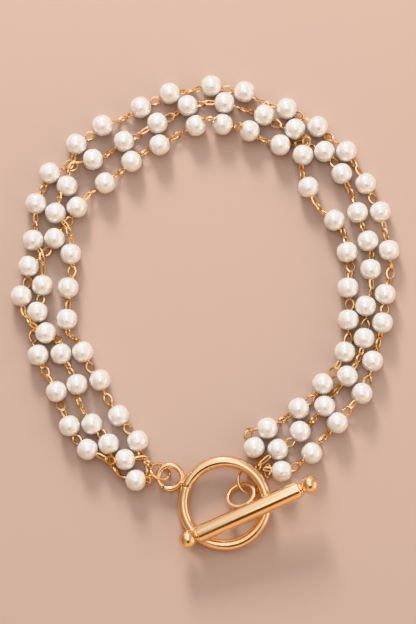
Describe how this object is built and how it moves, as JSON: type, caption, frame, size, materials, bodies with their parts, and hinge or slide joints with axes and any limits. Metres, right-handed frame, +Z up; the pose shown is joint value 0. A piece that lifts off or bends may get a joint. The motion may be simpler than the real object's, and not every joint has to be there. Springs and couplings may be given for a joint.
{
  "type": "chain bracelet",
  "caption": "Bracelet of round white faux pearls on wire eyes and oval links, in three strands closed by a gold toggle ring and bar, lying open on its side.",
  "frame": {"origin": "middle of the bounding box in plan, on the table that the bracelet lies on", "axes": "+Z is up from the table, through the wrist opening; +Y runs from the toggle clasp to the far side of the loop; +X is to the right with the clasp nearest"},
  "size_m": [0.0646, 0.0796, 0.0071],
  "materials": {
    "pearl": "pearlescent coating, warm white with a soft sheen",
    "gold": "polished warm gold plating"
  },
  "bodies": {
    "root": {"outer_pearls_01": "pearl", "outer_pearls_02": "pearl", "outer_pearls_03": "pearl", "outer_pearls_04": "pearl", "outer_pearls_05": "pearl", "outer_pearls_06": "pearl", "outer_pearls_07": "pearl", "outer_pearls_08": "pearl", "outer_pearls_09": "pearl", "outer_pearls_10": "pearl", "outer_pearls_11": "pearl", "outer_pearls_12": "pearl", "outer_pearls_13": "pearl", "outer_pearls_14": "pearl", "outer_pearls_15": "pearl", "middle_pearls_01": "pearl", "middle_pearls_02": "pearl", "middle_pearls_03": "pearl", "middle_pearls_04": "pearl", "middle_pearls_05": "pearl", "middle_pearls_06": "pearl", "middle_pearls_07": "pearl", "middle_pearls_08": "pearl", "middle_pearls_09": "pearl", "middle_pearls_10": "pearl", "middle_pearls_11": "pearl", "middle_pearls_12": "pearl", "middle_pearls_13": "pearl", "middle_pearls_14": "pearl", "inner_pearls_01": "pearl", "inner_pearls_02": "pearl", "inner_pearls_03": "pearl", "inner_pearls_04": "pearl", "inner_pearls_05": "pearl", "inner_pearls_06": "pearl", "inner_pearls_07": "pearl", "inner_pearls_08": "pearl", "inner_pearls_09": "pearl", "inner_pearls_10": "pearl", "inner_pearls_11": "pearl", "inner_pearls_12": "pearl", "inner_pearls_13": "pearl", "inner_pearls_14": "pearl", "toggle_ring": "gold", "toggle_bar": "gold", "left_jump_ring": "gold", "right_jump_ring": "gold"}
  },
  "joints": []
}
